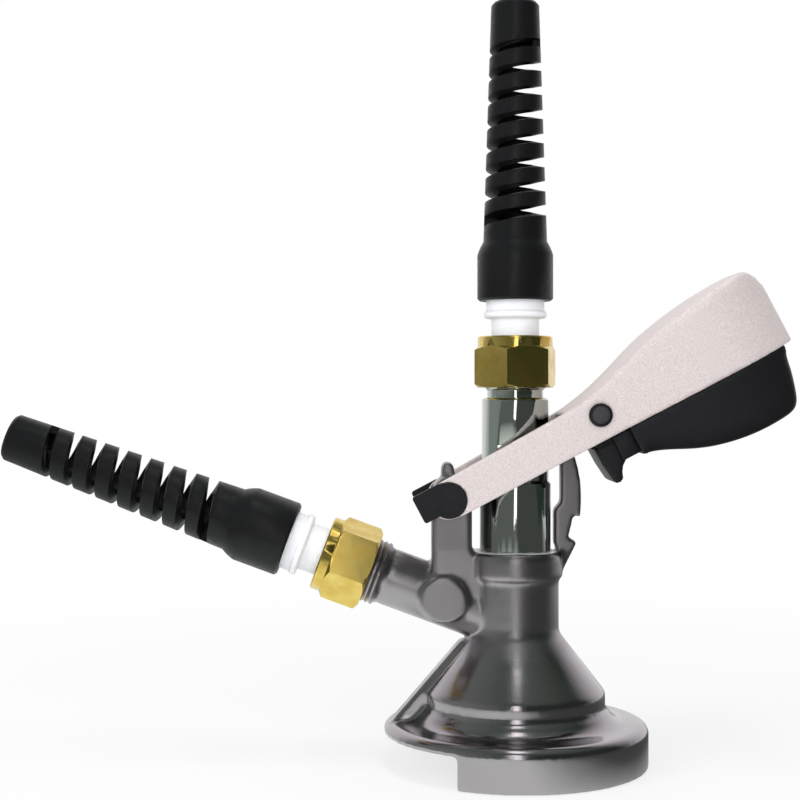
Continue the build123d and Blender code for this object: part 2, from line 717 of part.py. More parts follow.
with BuildPart() as hinge_pin:
    with BuildSketch(HINGE_PLANE):
        Circle(HINGE_PIN_R)
    extrude(amount=ARM_OUTER_Y - CAP_T, both=True)
hinge_pin.part.label = "hinge_pin"
export_step(hinge_pin.part, "parts/hinge_pin.step")

# ---------------------------------------------------------------- handle casting
# side view of the grip's top: along the arms, then up from them
GRIP_START_U = ARC_R + 1.5
GRIP_FULL_U = 108.0
GRIP_TOP = [
    (GRIP_START_U, 8.2),
    (60.0, 9.6),
    (72.0, 12.6),
    (88.1, 17.9),
    (98.0, 20.2),
    (GRIP_FULL_U, 21.8),
    (128.0, 23.3),
]
GRIP_REAR = [(132.4, 21.6), (134.4, 17.0), (GRIP_END, 8.0)]
GRIP_PLAN_PLANE = Plane(
    origin=HINGE,
    x_dir=(math.cos(tilt), 0, math.sin(tilt)),
    z_dir=(-math.sin(tilt), 0, math.cos(tilt)),
)


def grip_block(inset, skirt):
    """Side view and plan of the grip intersected: its outside, or its hollow when inset."""
    rear = GRIP_END - inset
    with BuildPart() as block:
        with BuildSketch(ARM_PLANE):
            with BuildLine():
                top = Spline(*[(u, v - inset) for u, v in GRIP_TOP])
                end = Spline(
                    top @ 1,
                    *[(u - inset, v - 0.5 * inset) for u, v in GRIP_REAR],
                    tangents=[top % 1, (0, -1)],
                )
                Polyline(end @ 1, (rear, skirt), (GRIP_START_U, skirt), top @ 0)
            make_face()
        extrude(amount=GRIP_HALF_Y + 5, both=True)
        with BuildSketch(GRIP_PLAN_PLANE):
            with BuildLine():
                near = Spline(
                    (GRIP_START_U, ARM_OUTER_Y - inset),
                    (72.0, ARM_OUTER_Y - inset + 0.9),
                    (90.0, GRIP_HALF_Y - inset - 1.1),
                    (GRIP_FULL_U, GRIP_HALF_Y - inset),
                    (128.0, 16.6 - inset),
                    (GRIP_END + 3.5 - 2 * inset, 0.0),
                    tangents=[(1, 0), (0, -1)],
                )
                far = mirror(near, about=Plane.XZ)
                Line(near @ 0, (GRIP_START_U, inset - ARM_OUTER_Y))
            make_face()
        extrude(amount=60, both=True, mode=Mode.INTERSECT)
    return block.part


with BuildPart() as handle:
    add(grip_block(0.0, -ARM_HALF_W))
    # the fork's two arms
    for side in (1, -1):
        with BuildSketch(ARM_PLANE.offset(side * ARM_INNER_Y)):
            with BuildLine():
                Polyline(
                    (0, -ARM_HALF_W),
                    (ARM_LENGTH, -ARM_HALF_W),
                    (ARM_LENGTH, 7.0),
                    (GRIP_START_U, 8.2),
                    (0, ARM_HALF_W),
                )
                ThreePointArc((0, ARM_HALF_W), (-ARM_HALF_W, 0), (0, -ARM_HALF_W))
            make_face()
        extrude(amount=side * ARM_T)
    add(grip_block(GRIP_WALL, -ARM_HALF_W - 2.0), mode=Mode.SUBTRACT)
    # open fork between the arms
    with BuildSketch(ARM_PLANE):
        with Locations((GRIP_START_U / 2, 0)):
            Rectangle(GRIP_START_U + 1.0, 60.0)
        with Locations((ARM_LENGTH / 2, -20.0)):
            Rectangle(ARM_LENGTH, 52.8)
    extrude(amount=ARM_INNER_Y, both=True, mode=Mode.SUBTRACT)
    # seats of the hinge caps
    for side in (1, -1):
        with BuildSketch(ARM_PLANE.offset(side * (ARM_OUTER_Y - CAP_T))):
            Circle(CAP_DISC_R)
            with Locations((-ARM_HALF_W, 0)):
                Rectangle(2 * ARM_HALF_W, 2 * ARM_HALF_W + 1)
        extrude(amount=side * 2 * CAP_T, mode=Mode.SUBTRACT)
    # holes for the hinge pin, the guide pin and the drive pins' shanks
    with BuildSketch(ARM_PLANE):
        Circle(HINGE_PIN_R)
        with Locations((GUIDE_U, GUIDE_V)):
            Circle(GUIDE_PIN_R)
    extrude(amount=2 * GRIP_HALF_Y, both=True, mode=Mode.SUBTRACT)
    with BuildSketch(ARM_PLANE):
        with Locations((DRIVE_ARM, 0)):
            Circle(DRIVE_SHANK_R)
    extrude(amount=ARM_OUTER_Y - 1.0, both=True, mode=Mode.SUBTRACT)
    # spot faces under the guide pin's heads
    for side in (1, -1):
        with BuildSketch(ARM_PLANE.offset(side * ARM_OUTER_Y)):
            with Locations((GUIDE_U, GUIDE_V)):
                Circle(GUIDE_HEAD_R + 0.4)
        extrude(amount=side * 3.0, mode=Mode.SUBTRACT)
handle.part.label = "handle"
export_step(handle.part, "parts/handle.step")

# hinge caps: moulded covers that finish the arms' ends
with BuildPart() as hinge_caps:
    for side in (1, -1):
        with BuildSketch(ARM_PLANE.offset(side * (ARM_OUTER_Y - CAP_T))) as cap_face:
            Circle(CAP_DISC_R)
            with Locations((-CAP_TAIL / 2, (ARM_HALF_W - CAP_TAIL_DROP) / 2)):
                RectangleRounded(CAP_TAIL, ARM_HALF_W + CAP_TAIL_DROP, 1.0)
        extrude(amount=side * (CAP_T + 0.5))
    chamfer(hinge_caps.faces().filter_by(Axis.Y).group_by(Axis.Y)[0].edges(), 0.35)
    chamfer(hinge_caps.faces().filter_by(Axis.Y).group_by(Axis.Y)[-1].edges(), 0.35)
hinge_caps.part.label = "hinge_caps"
export_step(hinge_caps.part, "parts/hinge_caps.step")

# drive pins, pressed into the arms, reaching into the probe's slots
with BuildPart() as drive_pins:
    for side in (1, -1):
        with BuildSketch(ARM_PLANE.offset(side * ARM_INNER_Y)):
            with Locations((DRIVE_ARM, 0)):
                Circle(DRIVE_PIN_R)
        extrude(amount=-side * (ARM_INNER_Y - DRIVE_SLOT_FLOOR_Y - 0.4))
        with BuildSketch(ARM_PLANE.offset(side * ARM_INNER_Y)):
            with Locations((DRIVE_ARM, 0)):
                Circle(DRIVE_SHANK_R)
        extrude(amount=side * (ARM_T - 1.0))
drive_pins.part.label = "drive_pins"
export_step(drive_pins.part, "parts/drive_pins.step")

# guide pin with its two heads: the trigger slides on it
with BuildPart() as guide_pin:
    with BuildSketch(ARM_PLANE):
        with Locations((GUIDE_U, GUIDE_V)):
            Circle(GUIDE_PIN_R)
    extrude(amount=ARM_OUTER_Y + 0.5, both=True)
    for side in (1, -1):
        with BuildSketch(ARM_PLANE.offset(side * ARM_OUTER_Y)):
            with Locations((GUIDE_U, GUIDE_V)):
                Circle(GUIDE_HEAD_R)
        extrude(amount=side * 1.6)
    heads = guide_pin.faces().filter_by(Axis.Y).sort_by(Axis.Y)
    chamfer(heads[0].edges() + heads[-1].edges(), 0.5)
guide_pin.part.label = "guide_pin"
export_step(guide_pin.part, "parts/guide_pin.step")

# ---------------------------------------------------------------- grip insert
INSERT_FRONT_U = ARC_R + 19.8
INSERT_BOTTOM = [
    (131.5, -ARM_HALF_W),
    (129.7, -17.2),
    (126.6, -26.3),
    (124.5, -29.4),
    (111.3, -30.0),
    (98.3, -28.6),
    (86.4, -25.0),
    (75.5, -19.9),
    (INSERT_FRONT_U, -17.7),
]
with BuildPart() as insert_low:
    with BuildSketch(ARM_PLANE):
        with BuildLine():
            Polyline(*INSERT_BOTTOM[:4])
            Spline(*INSERT_BOTTOM[3:])
            Polyline(INSERT_BOTTOM[-1], (INSERT_FRONT_U, -ARM_HALF_W), INSERT_BOTTOM[0])
        make_face()
    extrude(amount=GRIP_HALF_Y, both=True)
    add(grip_block(INSERT_SET_BACK, -40.0), mode=Mode.INTERSECT)

with BuildPart() as grip_insert:
    # skirt that plugs into the metal shell
    add(grip_block(GRIP_WALL, -ARM_HALF_W))
    with BuildSketch(ARM_PLANE):
        with Locations(((INSERT_FRONT_U + GRIP_END) / 2, (INSERT_SKIRT_V - ARM_HALF_W) / 2)):
            Rectangle(GRIP_END - INSERT_FRONT_U, ARM_HALF_W + INSERT_SKIRT_V)
    extrude(amount=GRIP_HALF_Y, both=True, mode=Mode.INTERSECT)
    add(insert_low.part)
    # hollow, open to the front for the trigger's tail
    with BuildSketch(ARM_PLANE):
        with BuildLine():
            Polyline((60, 12), (60, -15.4), (INSERT_FRONT_U, -15.4))
            Spline((INSERT_FRONT_U, -15.4), (75.5, -17.6), (86.4, -22.6), (98.3, -26.2), (111.3, -27.6))
            Polyline((111.3, -27.6), (122.0, -27.0), (127.2, -ARM_HALF_W), (127.2, 12), (60, 12))
        make_face()
    extrude(amount=GRIP_HALF_Y - GRIP_WALL - 3.6, both=True, mode=Mode.SUBTRACT)
    # cross wall that carries the spring
    with BuildSketch(ARM_PLANE):
        with Locations((SPRING_SEAT_U + 1.2, -13.0)):
            Rectangle(2.4, 26.0)
    extrude(amount=GRIP_HALF_Y - GRIP_WALL - 2.8, both=True)
grip_insert.part.label = "grip_insert"
export_step(grip_insert.part, "parts/grip_insert.step")

# ---------------------------------------------------------------- trigger
CATCH_U = ARC_R + CATCH_RIDE_GAP + CATCH_R
TAIL_V = (SPRING_V - 6.6, SPRING_V + 6.6)
SPRING_POCKET_U = TRIGGER_FRONT_U + 16.5
with BuildPart() as trigger:
    # finger blade; its back stays clear of the insert when the trigger is pulled
    blade_back = INSERT_FRONT_U - TRIGGER_OUT - SEAT_GAP
    with BuildSketch(ARM_PLANE):
        with BuildLine():
            Polyline(
                (blade_back - 0.5, TRIGGER_TOP_V),
                (TRIGGER_FRONT_U - 1.5, TRIGGER_TOP_V),
                (TRIGGER_FRONT_U - 1.5, -4.6),
                (TRIGGER_FRONT_U, -7.6),
                (TRIGGER_FRONT_U, -22.6),
            )
            Spline(
                (TRIGGER_FRONT_U, -22.6),
                (TRIGGER_FRONT_U + 1.3, -23.8),
                (TRIGGER_FRONT_U + 3.7, -22.8),
                (TRIGGER_FRONT_U + 6.8, -18.6),
                (blade_back, -16.9),
                tangents=[(0, -1), (1, 0)],
            )
            Polyline((blade_back, -16.9), (blade_back, 2.0), (blade_back - 0.5, TRIGGER_TOP_V))
        make_face()
    extrude(amount=TRIGGER_HALF_Y, both=True)
    # cheeks that carry the catch pin
    for side in (1, -1):
        with BuildSketch(ARM_PLANE.offset(side * CHEEK_INNER_Y)):
            with Locations((CATCH_U, CATCH_V)):
                Circle(CATCH_R + 1.5)
            with Locations((CATCH_U + 2.5, CATCH_V)):
                Rectangle(5.0, 2 * (CATCH_R + 1.5))
        extrude(amount=side * (TRIGGER_HALF_Y - CHEEK_INNER_Y))
    # tail in the grip, bored for the spring
    with BuildSketch(ARM_PLANE):
        tail_mid = (TRIGGER_FRONT_U + 15.5, SPRING_V)
        with Locations(tail_mid):
            Rectangle(22.0, TAIL_V[1] - TAIL_V[0])
    extrude(amount=TRIGGER_TAIL_HALF_Y, both=True)
    with BuildSketch(
        Plane(
            origin=(arm_point(SPRING_POCKET_U, SPRING_V)[0], 0, arm_point(SPRING_POCKET_U, SPRING_V)[1]),
            x_dir=(0, 1, 0),
            z_dir=(math.cos(tilt), 0, math.sin(tilt)),
        )
    ):
        Circle(SPRING_R + SPRING_WIRE_R + 0.4)
    extrude(amount=20, mode=Mode.SUBTRACT)
    # slot for the guide pin and bore for the catch pin
    slot_mid = GUIDE_U + (TRIGGER_IN - TRIGGER_OUT) / 2
    slot_r = GUIDE_PIN_R + RUN_CLEAR
    with BuildSketch(ARM_PLANE):
        with Locations((slot_mid, GUIDE_V)):
            SlotCenterToCenter(TRIGGER_IN + TRIGGER_OUT + 0.2, 2 * slot_r)
        with Locations((CATCH_U, CATCH_V)):
            Circle(CATCH_R)
    extrude(amount=2 * TRIGGER_HALF_Y, both=True, mode=Mode.SUBTRACT)
trigger.part.label = "trigger"
export_step(trigger.part, "parts/trigger.step")

with BuildPart() as catch_pin:
    with BuildSketch(ARM_PLANE):
        with Locations((CATCH_U, CATCH_V)):
            Circle(CATCH_R)
    extrude(amount=TRIGGER_HALF_Y - 0.4, both=True)
catch_pin.part.label = "catch_pin"
export_step(catch_pin.part, "parts/catch_pin.step")

# coil spring between the cross wall and the pocket in the trigger's tail
SPRING_LENGTH = SPRING_SEAT_U - SPRING_POCKET_U - TRIGGER_OUT - 2.4 * SPRING_WIRE_R
spring_end = arm_point(SPRING_SEAT_U - 1.2 * SPRING_WIRE_R, SPRING_V)
SPRING_PLANE = Plane(
    origin=(spring_end[0], 0, spring_end[1]),
    x_dir=(0, 1, 0),
    z_dir=(-math.cos(tilt), 0, -math.sin(tilt)),
)
with BuildPart() as coil_spring:
    with BuildLine() as coil:
        Helix(SPRING_LENGTH / SPRING_COILS, SPRING_LENGTH, SPRING_R)
    with BuildSketch(Plane(origin=coil.line @ 0, z_dir=coil.line % 0)):
        Circle(SPRING_WIRE_R)
    sweep(path=coil.line, is_frenet=True)
trigger_spring = coil_spring.part.moved(SPRING_PLANE.location)
trigger_spring.label = "trigger_spring"
export_step(trigger_spring, "parts/trigger_spring.step")
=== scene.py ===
# %% [markdown]
# # Keg coupler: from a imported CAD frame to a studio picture
# A keg coupler locks onto a keg. Its handle drives a hollow probe down through the keg's
# valve; gas goes in at the slanting arm and beer comes out of the top. The CAD model gives
# every size and place, so here each part only gets its finish, its softened edges and the
# small detail that a solid model leaves out.

# %% Load the frame
import json
import math

import bmesh
import bpy
from mathutils import Matrix, Vector, kdtree

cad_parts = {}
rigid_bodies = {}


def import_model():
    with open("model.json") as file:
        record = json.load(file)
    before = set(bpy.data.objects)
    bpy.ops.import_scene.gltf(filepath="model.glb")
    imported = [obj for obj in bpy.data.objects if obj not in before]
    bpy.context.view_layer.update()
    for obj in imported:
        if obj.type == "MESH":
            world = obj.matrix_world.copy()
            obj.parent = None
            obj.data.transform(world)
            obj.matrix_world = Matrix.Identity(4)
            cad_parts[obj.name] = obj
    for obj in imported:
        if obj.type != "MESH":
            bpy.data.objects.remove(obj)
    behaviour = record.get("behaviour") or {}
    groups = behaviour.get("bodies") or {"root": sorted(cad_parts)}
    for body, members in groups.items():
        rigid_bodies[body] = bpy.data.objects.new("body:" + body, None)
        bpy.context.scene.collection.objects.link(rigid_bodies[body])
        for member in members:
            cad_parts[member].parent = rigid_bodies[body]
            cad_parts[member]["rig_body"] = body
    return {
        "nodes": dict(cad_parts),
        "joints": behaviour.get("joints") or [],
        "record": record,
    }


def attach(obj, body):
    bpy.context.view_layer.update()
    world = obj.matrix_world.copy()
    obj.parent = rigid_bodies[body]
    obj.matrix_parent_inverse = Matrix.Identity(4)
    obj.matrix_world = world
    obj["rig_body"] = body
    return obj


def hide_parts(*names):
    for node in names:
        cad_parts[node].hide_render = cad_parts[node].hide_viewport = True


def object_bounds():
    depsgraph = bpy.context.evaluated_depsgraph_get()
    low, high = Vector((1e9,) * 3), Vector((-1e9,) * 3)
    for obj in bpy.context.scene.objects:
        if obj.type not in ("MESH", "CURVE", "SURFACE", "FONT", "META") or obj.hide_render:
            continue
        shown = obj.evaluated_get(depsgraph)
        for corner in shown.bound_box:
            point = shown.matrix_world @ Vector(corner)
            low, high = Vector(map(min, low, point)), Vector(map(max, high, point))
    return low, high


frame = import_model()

cad_box = [[float(v) for v in corner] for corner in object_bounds()]
print("CAD box in mm:", [[round(v * 1000, 1) for v in corner] for corner in cad_box])

# %% [markdown]
# ## Two local frames
# The handle and the gas arm slope, so their detail is easiest to give along their own
# axes. A matrix per sloping part carries points from "along, across, up" to the row frame.
# The hinge comes from the joint in the record, and the gas arm's slope from its washer.

# %% Sloping frames
hinge_joint = next(j for j in frame["joints"] if j["name"] == "handle_hinge")
slide_joint = next(j for j in frame["joints"] if j["name"] == "trigger_slide")
hinge = Vector(hinge_joint["pos_m"])
handle_along = Vector(slide_joint["axis"]).normalized()


def frame_at(origin, along):
    """Local x along the part, local y across it, local z up from it."""
    across = Vector((0, 1, 0))
    up = along.cross(across).normalized()
    rows = Matrix((along, across, up)).transposed().to_4x4()
    rows.translation = origin
    return rows


handle_frame = frame_at(hinge, handle_along)
gas_mount = next(m for m in frame["record"]["mounts"] if m["name"] == "gas_hose")
gas_along = Vector(gas_mount["axis"]).normalized()
gas_tip = Vector(gas_mount["pos_m"])
gas_root = gas_tip - gas_along * (gas_tip.x / gas_along.x)
print("gas arm meets the probe's axis at", round(gas_root.z * 1000, 1), "mm")

# %% [markdown]
# ## Helpers for finishes
# A finish is a Principled shader with a little noise in its roughness and bump, read on
# Object coordinates so that the grain keeps its real size on every part. Values that are
# the same all over go straight on the shader's own sockets.


# %% Start a finish
def new_finish(name, colour, metallic, roughness, specular=0.5):
    material = bpy.data.materials.new(name)
    material.use_nodes = True
    shader = material.node_tree.nodes["Principled BSDF"]
    shader.inputs["Base Color"].default_value = (*colour, 1.0)
    shader.inputs["Metallic"].default_value = metallic
    shader.inputs["Roughness"].default_value = roughness
    shader.inputs["Specular IOR Level"].default_value = specular
    return material, material.node_tree, shader


# %% Noise read on Object coordinates
def object_noise(tree, scale, detail=2.0, stretch=(1.0, 1.0, 1.0)):
    place = tree.nodes.new("ShaderNodeTexCoord")
    mapping = tree.nodes.new("ShaderNodeMapping")
    mapping.inputs["Scale"].default_value = stretch
    noise = tree.nodes.new("ShaderNodeTexNoise")
    noise.inputs["Scale"].default_value = scale
    noise.inputs["Detail"].default_value = detail
    tree.links.new(place.outputs["Object"], mapping.inputs["Vector"])
    tree.links.new(mapping.outputs["Vector"], noise.inputs["Vector"])
    return noise.outputs["Fac"]


# %% Remap a value to a range
def remap(tree, value, low, high, from_low=0.3, from_high=0.7):
    node = tree.nodes.new("ShaderNodeMapRange")
    node.inputs["From Min"].default_value = from_low
    node.inputs["From Max"].default_value = from_high
    node.inputs["To Min"].default_value = low
    node.inputs["To Max"].default_value = high
    tree.links.new(value, node.inputs["Value"])
    return node.outputs["Result"]


# %% Add bump to a shader
def add_bump(tree, shader, height, distance, strength=1.0, after=None):
    bump = tree.nodes.new("ShaderNodeBump")
    bump.inputs["Strength"].default_value = strength
    bump.inputs["Distance"].default_value = distance
    tree.links.new(height, bump.inputs["Height"])
    if after is not None:
        tree.links.new(after, bump.inputs["Normal"])
    tree.links.new(bump.outputs["Normal"], shader.inputs["Normal"])
    return bump.outputs["Normal"]


# %% Vary a colour between two shades
def vary_colour(tree, shader, factor, first, second):
    mix = tree.nodes.new("ShaderNodeMix")
    mix.data_type = "RGBA"
    mix.inputs["A"].default_value = (*first, 1.0)
    mix.inputs["B"].default_value = (*second, 1.0)
    tree.links.new(factor, mix.inputs["Factor"])
    tree.links.new(mix.outputs["Result"], shader.inputs["Base Color"])


# %% [markdown]
# ## The metals
# The body is a polished casting: a mirror with a slightly wavy skin. Its ears and its
# neck are only blasted, so the roughness rises with height. The probe is turned and
# chromed, so its marks run round it.

# %% Polished casting
cast, tree, shader = new_finish("polished_casting", (0.365, 0.335, 0.358), 1.0, 0.2)
wave = object_noise(tree, 60.0, 2.0)
grain = object_noise(tree, 1900.0, 2.0)
first = add_bump(tree, shader, wave, 0.0006, 0.35)
add_bump(tree, shader, grain, 0.00003, 0.5, after=first)
place = tree.nodes.new("ShaderNodeTexCoord")
split = tree.nodes.new("ShaderNodeSeparateXYZ")
tree.links.new(place.outputs["Object"], split.inputs["Vector"])
blasted_neck = remap(tree, split.outputs["Z"], 0.0, 0.15, 0.0270, 0.0320)
blasted_ears = remap(tree, split.outputs["Z"], 0.0, 0.10, 0.0660, 0.0672)
polish = remap(tree, wave, 0.12, 0.22)
blasting = tree.nodes.new("ShaderNodeMath")
tree.links.new(blasted_neck, blasting.inputs[0])
tree.links.new(blasted_ears, blasting.inputs[1])
total = tree.nodes.new("ShaderNodeMath")
tree.links.new(blasting.outputs["Value"], total.inputs[0])
tree.links.new(polish, total.inputs[1])
tree.links.new(total.outputs["Value"], shader.inputs["Roughness"])
print("made", cast.name)

# %% Turned chrome
chrome, tree, shader = new_finish("turned_chrome", (0.50, 0.53, 0.50), 1.0, 0.06)
rings = object_noise(tree, 900.0, 2.0, (0.02, 0.02, 1.0))
tree.links.new(remap(tree, rings, 0.03, 0.08), shader.inputs["Roughness"])
add_bump(tree, shader, rings, 0.00001, 0.4)
print("made", chrome.name)

# %% Brass
brass, tree, shader = new_finish("bright_brass", (0.80, 0.56, 0.19), 1.0, 0.2)
patina = object_noise(tree, 160.0, 3.0)
vary_colour(tree, shader, remap(tree, patina, 0.0, 1.0), (0.76, 0.58, 0.18), (0.64, 0.43, 0.09))
tree.links.new(remap(tree, patina, 0.15, 0.26), shader.inputs["Roughness"])
add_bump(tree, shader, object_noise(tree, 1400.0, 2.0), 0.00001, 0.4)
print("made", brass.name)

# %% Bead-blasted handle metal
blasted, tree, shader = new_finish("blasted_alloy", (0.60, 0.53, 0.53), 0.35, 0.48)
speck = object_noise(tree, 2100.0, 3.0)
vary_colour(tree, shader, remap(tree, speck, 0.0, 1.0), (0.62, 0.55, 0.545), (0.84, 0.755, 0.75))
tree.links.new(remap(tree, speck, 0.42, 0.58), shader.inputs["Roughness"])
add_bump(tree, shader, speck, 0.00006, 0.6)
print("made", blasted.name)

# %% Plain stainless pins
steel, tree, shader = new_finish("stainless_pin", (0.55, 0.55, 0.55), 1.0, 0.25)
turning = object_noise(tree, 1200.0, 2.0, (1.0, 0.05, 1.0))
tree.links.new(remap(tree, turning, 0.2, 0.34), shader.inputs["Roughness"])
print("made", steel.name)

# %% [markdown]
# ## The plastics and the rubber
# The grip and trigger are moulded black nylon with a fine eroded grain. The bend
# protectors are softer and a little shinier. The hose tails are white nylon.

# %% Grained black nylon
black_nylon, tree, shader = new_finish(
    "grained_black_nylon", (0.008, 0.008, 0.010), 0.0, 0.42, specular=0.3,
)
texture = object_noise(tree, 1500.0, 3.0)
tree.links.new(remap(tree, texture, 0.34, 0.5), shader.inputs["Roughness"])
add_bump(tree, shader, texture, 0.00009, 0.7)
print("made", black_nylon.name)

# %% Satin black rubber
rubber, tree, shader = new_finish(
    "satin_black_rubber", (0.006, 0.006, 0.007), 0.0, 0.4, specular=0.28,
)
skin = object_noise(tree, 700.0, 3.0)
tree.links.new(remap(tree, skin, 0.32, 0.46), shader.inputs["Roughness"])
add_bump(tree, shader, skin, 0.00005, 0.5)
print("made", rubber.name)

# %% White nylon
white_nylon, tree, shader = new_finish("white_nylon", (0.86, 0.87, 0.90), 0.0, 0.38)
shade = object_noise(tree, 120.0, 2.0)
vary_colour(tree, shader, remap(tree, shade, 0.0, 1.0), (0.88, 0.89, 0.92), (0.82, 0.83, 0.87))
add_bump(tree, shader, object_noise(tree, 1800.0, 2.0), 0.00002, 0.3)
print("made", white_nylon.name)

# %% [markdown]
# ## Dressing the CAD parts
# A CAD part arrives as loose triangles with flat shading. Polished metal shows every
# facet, so each part is copied, its triangles are welded, flat areas become single faces,
# and its hard edges get a small bevel that catches the light as a real edge does.


# %% Put a mesh in the scene with its finish
def place_mesh(name, mesh, finish, hard=None):
    mesh.polygons.foreach_set("use_smooth", [True] * len(mesh.polygons))
    if hard is not None:
        mesh.set_sharp_from_angle(angle=math.radians(hard))
    mesh.materials.clear()
    mesh.materials.append(finish)
    piece = bpy.data.objects.new(name, mesh)
    bpy.context.scene.collection.objects.link(piece)
    return piece


# %% Copy a part and soften its edges
def dress(node, finish, edge=0.0003, hard=32.0):
    body = frame["nodes"][node]["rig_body"]
    work = bmesh.new()
    work.from_mesh(frame["nodes"][node].data)
    bmesh.ops.remove_doubles(work, verts=work.verts, dist=1e-6)
    bmesh.ops.dissolve_limit(
        work,
        angle_limit=math.radians(0.3),
        verts=work.verts,
        edges=work.edges,
        use_dissolve_boundaries=False,
    )
    mesh = bpy.data.meshes.new(node + "_dressed")
    work.to_mesh(mesh)
    work.free()
    piece = place_mesh(node + "_dressed", mesh, finish, hard)
    if edge > 0.0:
        soften = piece.modifiers.new("soft_edges", "BEVEL")
        soften.width = edge
        soften.segments = 2
        soften.limit_method = "ANGLE"
        soften.angle_limit = math.radians(hard)
        soften.use_clamp_overlap = True
        soften.harden_normals = True
    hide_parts(node)
    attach(piece, body)
    return piece


# %% [markdown]
# ## The casting's skin
# A sand casting has no sharp inside corners: every rib, arm and ear runs into the bell
# with a fillet. The solid model has crisp junctions, so the casting is turned into an even
# skin of small quads and smoothed a few times, which rounds all its corners alike.


# %% Give a casting round corners
def cast_skin(node, finish, voxel, passes):
    piece = dress(node, finish, edge=0.0)
    piece.name = node + "_skin"
    skin = piece.modifiers.new("even_skin", "REMESH")
    skin.mode = "VOXEL"
    skin.voxel_size = voxel
    skin.use_smooth_shade = True
    soft = piece.modifiers.new("round_corners", "SMOOTH")
    soft.factor = 0.5
    soft.iterations = passes
    return piece


casting = cast_skin("body", cast, 0.0008, 7)
print("casting:", casting.name)

# %% Every other part and its finish
finishes = {
    "probe": (chrome, 0.0003),
    "gas_nut": (brass, 0.0003),
    "beer_nut": (brass, 0.0003),
    "gas_hose_tail": (white_nylon, 0.0003),
    "beer_hose_tail": (white_nylon, 0.0003),
    "gas_bend_protector": (rubber, 0.0003),
    "beer_bend_protector": (rubber, 0.0003),
    "hinge_caps": (black_nylon, 0.0003),
    "guide_pin": (black_nylon, 0.0003),
    "keg_seal": (rubber, 0.0),
    "neck_o_rings": (rubber, 0.0),
    "probe_tip_seal": (rubber, 0.0),
    "gas_tail_washer": (rubber, 0.0),
    "beer_tail_washer": (rubber, 0.0),
    "gas_check_valve": (rubber, 0.0),
    "guide_ring": (white_nylon, 0.0),
    "hinge_bushes": (black_nylon, 0.0),
    "hinge_pin": (steel, 0.0),
    "drive_pins": (steel, 0.0003),
    "catch_pin": (steel, 0.0),
    "trigger_spring": (steel, 0.0),
}
for node, (finish, edge) in finishes.items():
    piece = dress(node, finish, edge)
    print(piece.name, len(piece.data.polygons), "faces")

# %% [markdown]
# ## Rounded mouldings
# The palm presses on the handle's broad back and the fingers curl under the black grip, so
# the outer edges of both are well rounded. A bevel would tear where the curved edges meet
# the thin wall. Each part is given an even skin of small quads instead, lined up with the
# handle so that long edges stay straight, and only the points near the chosen edges are
# smoothed, again and again, until the corner has opened into a round.


# %% Even skin, lined up with a sloping frame
def skin_along(node, rows, voxel):
    flat = bpy.data.meshes.new(node + "_flat")
    work = bmesh.new()
    work.from_mesh(frame["nodes"][node].data)
    bmesh.ops.remove_doubles(work, verts=work.verts, dist=1e-6)
    bmesh.ops.transform(work, matrix=rows.inverted(), verts=work.verts)
    work.to_mesh(flat)
    work.free()
    helper = bpy.data.objects.new(node + "_flat", flat)
    bpy.context.scene.collection.objects.link(helper)
    skin = helper.modifiers.new("even_skin", "REMESH")
    skin.mode = "VOXEL"
    skin.voxel_size = voxel
    soft = helper.modifiers.new("soft", "SMOOTH")
    soft.factor = 0.5
    soft.iterations = 3
    bpy.context.view_layer.update()
    finished = helper.evaluated_get(bpy.context.evaluated_depsgraph_get())
    work = bmesh.new()
    work.from_mesh(finished.to_mesh())
    finished.to_mesh_clear()
    bpy.data.objects.remove(helper)
    bpy.data.meshes.remove(flat)
    work.normal_update()
    return work


# %% Round the skin near chosen edges
def round_edges(work, chosen, band, passes, bend=30.0):
    corners = []
    for edge in work.edges:
        if edge.calc_face_angle(0.0) > math.radians(bend):
            middle = (edge.verts[0].co + edge.verts[1].co) / 2
            if chosen(middle, (edge.verts[0].normal + edge.verts[1].normal) / 2):
                corners.append(middle)
    tree = kdtree.KDTree(len(corners))
    for number, middle in enumerate(corners):
        tree.insert(middle, number)
    tree.balance()
    near = []
    for vert in work.verts:
        found = tree.find(vert.co)
        if found[0] is not None and found[2] < band and chosen(vert.co, vert.normal):
            near.append(vert)
    for _ in range(passes):
        bmesh.ops.smooth_vert(
            work, verts=near, factor=0.5, use_axis_x=True, use_axis_y=True, use_axis_z=True,
        )
    return len(near)


# %% Turn a worked skin into a dressed part
def skin_piece(node, work, rows, finish):
    bmesh.ops.transform(work, matrix=rows, verts=work.verts)
    mesh = bpy.data.meshes.new(node + "_skin")
    work.to_mesh(mesh)
    work.free()
    piece = place_mesh(node + "_skin", mesh, finish)
    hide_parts(node)
    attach(piece, frame["nodes"][node]["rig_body"])
    return piece


# %% Round the handle's back
def on_the_back(place, normal):
    outward = normal.z + math.copysign(1.0, place.y) * normal.y + max(normal.x, 0.0)
    return place.x > 0.0515 and place.z > 0.0078 and outward > 0.25


work = skin_along("handle", handle_frame, 0.0007)
rounded = round_edges(work, on_the_back, 0.0030, 22)
handle_piece = skin_piece("handle", work, handle_frame, blasted)
print("handle:", len(handle_piece.data.polygons), "faces,", rounded, "points rounded")


# %% Round the grip's underside
def under_the_grip(place, normal):
    outward = -normal.z + math.copysign(1.0, place.y) * normal.y + max(normal.x, 0.0)
    return place.z < -0.0095 and place.x > 0.0700 and outward > 0.25


work = skin_along("grip_insert", handle_frame, 0.0008)
rounded = round_edges(work, under_the_grip, 0.0060, 60)
grip_piece = skin_piece("grip_insert", work, handle_frame, black_nylon)
print("grip:", len(grip_piece.data.polygons), "faces,", rounded, "points rounded")
